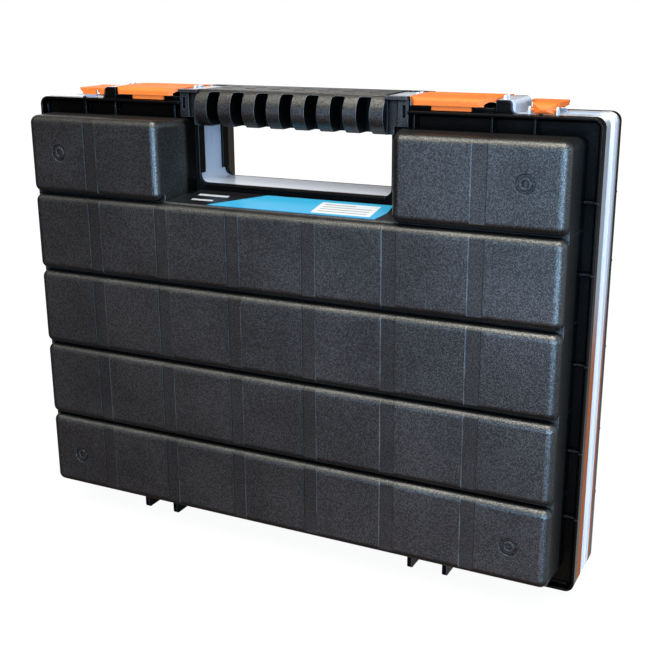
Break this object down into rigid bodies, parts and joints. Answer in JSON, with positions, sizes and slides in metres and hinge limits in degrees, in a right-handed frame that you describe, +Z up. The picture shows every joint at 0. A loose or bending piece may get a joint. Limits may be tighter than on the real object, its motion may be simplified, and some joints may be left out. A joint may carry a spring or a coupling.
{
  "type": "double-sided parts organizer",
  "caption": "Upright double-sided small-parts case in black plastic with milky clear covers, orange latches and a ribbed carry handle",
  "frame": {"origin": "bottom centre, on the lowest point of the hinge lugs", "axes": "front tray faces -Y, width along X, +Z up"},
  "size_m": [0.4004, 0.1016, 0.3155],
  "materials": {
    "tray_black": "fine moulded grain outside, smooth in the flange channel",
    "cover_clear": "milky clear, smooth",
    "handle_black": "grained ribs",
    "latch_orange": "satin, fine diagonal texture on top",
    "pin_dark": "drawn",
    "label_sheet": "coated, plain colour fields",
    "divider_black": "smooth"
  },
  "bodies": {
    "front_tray": {"front_tray": "tray_black", "front_handle": "handle_black", "front_label": "label_sheet", "hinge_pin_left": "pin_dark", "hinge_pin_right": "pin_dark", "front_row_1_left": "tray_black", "front_row_1_right": "tray_black", "front_row_2_left": "tray_black", "front_row_2_middle": "tray_black", "front_row_2_right": "tray_black", "front_row_3": "tray_black", "front_row_4": "tray_black", "front_row_5": "tray_black", "front_divider_2a": "divider_black", "front_divider_2b": "divider_black", "front_divider_3a": "divider_black", "front_divider_3b": "divider_black", "front_divider_4a": "divider_black", "front_divider_4b": "divider_black", "front_divider_5a": "divider_black", "front_divider_5b": "divider_black", "front_divider_5c": "divider_black"},
    "rear_tray": {"rear_tray": "tray_black", "rear_handle": "handle_black", "rear_row_1_left": "tray_black", "rear_row_1_right": "tray_black", "rear_row_2_left": "tray_black", "rear_row_2_middle": "tray_black", "rear_row_2_right": "tray_black", "rear_row_3": "tray_black", "rear_row_4": "tray_black", "rear_row_5": "tray_black", "rear_divider_2a": "divider_black", "rear_divider_2b": "divider_black", "rear_divider_3a": "divider_black", "rear_divider_3b": "divider_black", "rear_divider_4a": "divider_black", "rear_divider_4b": "divider_black", "rear_divider_5a": "divider_black", "rear_divider_5b": "divider_black", "rear_divider_5c": "divider_black"},
    "front_lid": {"front_lid": "cover_clear"},
    "rear_lid": {"rear_lid": "cover_clear"},
    "front_latch_left": {"front_latch_left": "latch_orange"},
    "front_latch_right": {"front_latch_right": "latch_orange"},
    "rear_latch_left": {"rear_latch_left": "latch_orange"},
    "rear_latch_right": {"rear_latch_right": "latch_orange"},
    "clip_left": {"joining_clip_left": "latch_orange"},
    "clip_right": {"joining_clip_right": "latch_orange"}
  },
  "joints": [
    {"name": "case_hinge", "type": "hinge", "parent": "front_tray", "child": "rear_tray", "pos_m": [0, 0, 0.0045], "axis": [-1, 0, 0], "range_deg": [0, 180]},
    {"name": "front_cover_hinge", "type": "hinge", "parent": "front_tray", "child": "front_lid", "pos_m": [0, 0, 0.0045], "axis": [-1, 0, 0], "range_deg": [0, 85]},
    {"name": "rear_cover_hinge", "type": "hinge", "parent": "rear_tray", "child": "rear_lid", "pos_m": [0, 0, 0.0045], "axis": [-1, 0, 0], "range_deg": [-85, 0]},
    {"name": "front_latch_left_hinge", "type": "hinge", "parent": "front_lid", "child": "front_latch_left", "pos_m": [-0.1089, -0.0028, 0.3132], "axis": [-1, 0, 0], "range_deg": [0, 85]},
    {"name": "front_latch_right_hinge", "type": "hinge", "parent": "front_lid", "child": "front_latch_right", "pos_m": [0.1089, -0.0028, 0.3132], "axis": [-1, 0, 0], "range_deg": [0, 85]},
    {"name": "rear_latch_left_hinge", "type": "hinge", "parent": "rear_lid", "child": "rear_latch_left", "pos_m": [-0.1089, 0.0028, 0.3132], "axis": [1, 0, 0], "range_deg": [0, 85]},
    {"name": "rear_latch_right_hinge", "type": "hinge", "parent": "rear_lid", "child": "rear_latch_right", "pos_m": [0.1089, 0.0028, 0.3132], "axis": [1, 0, 0], "range_deg": [0, 85]},
    {"name": "clip_right_hinge", "type": "hinge", "parent": "front_lid", "child": "clip_right", "pos_m": [0.1631, -0.0138, 0.3087], "axis": [1, 0, 0], "range_deg": [0, 85]},
    {"name": "clip_left_hinge", "type": "hinge", "parent": "rear_lid", "child": "clip_left", "pos_m": [-0.1631, 0.0138, 0.3087], "axis": [-1, 0, 0], "range_deg": [0, 85]}
  ],
  "couplings": [
    {"joint": "front_cover_hinge", "follows": "case_hinge", "ratio": 0.47},
    {"joint": "rear_cover_hinge", "follows": "case_hinge", "ratio": -0.47}
  ]
}
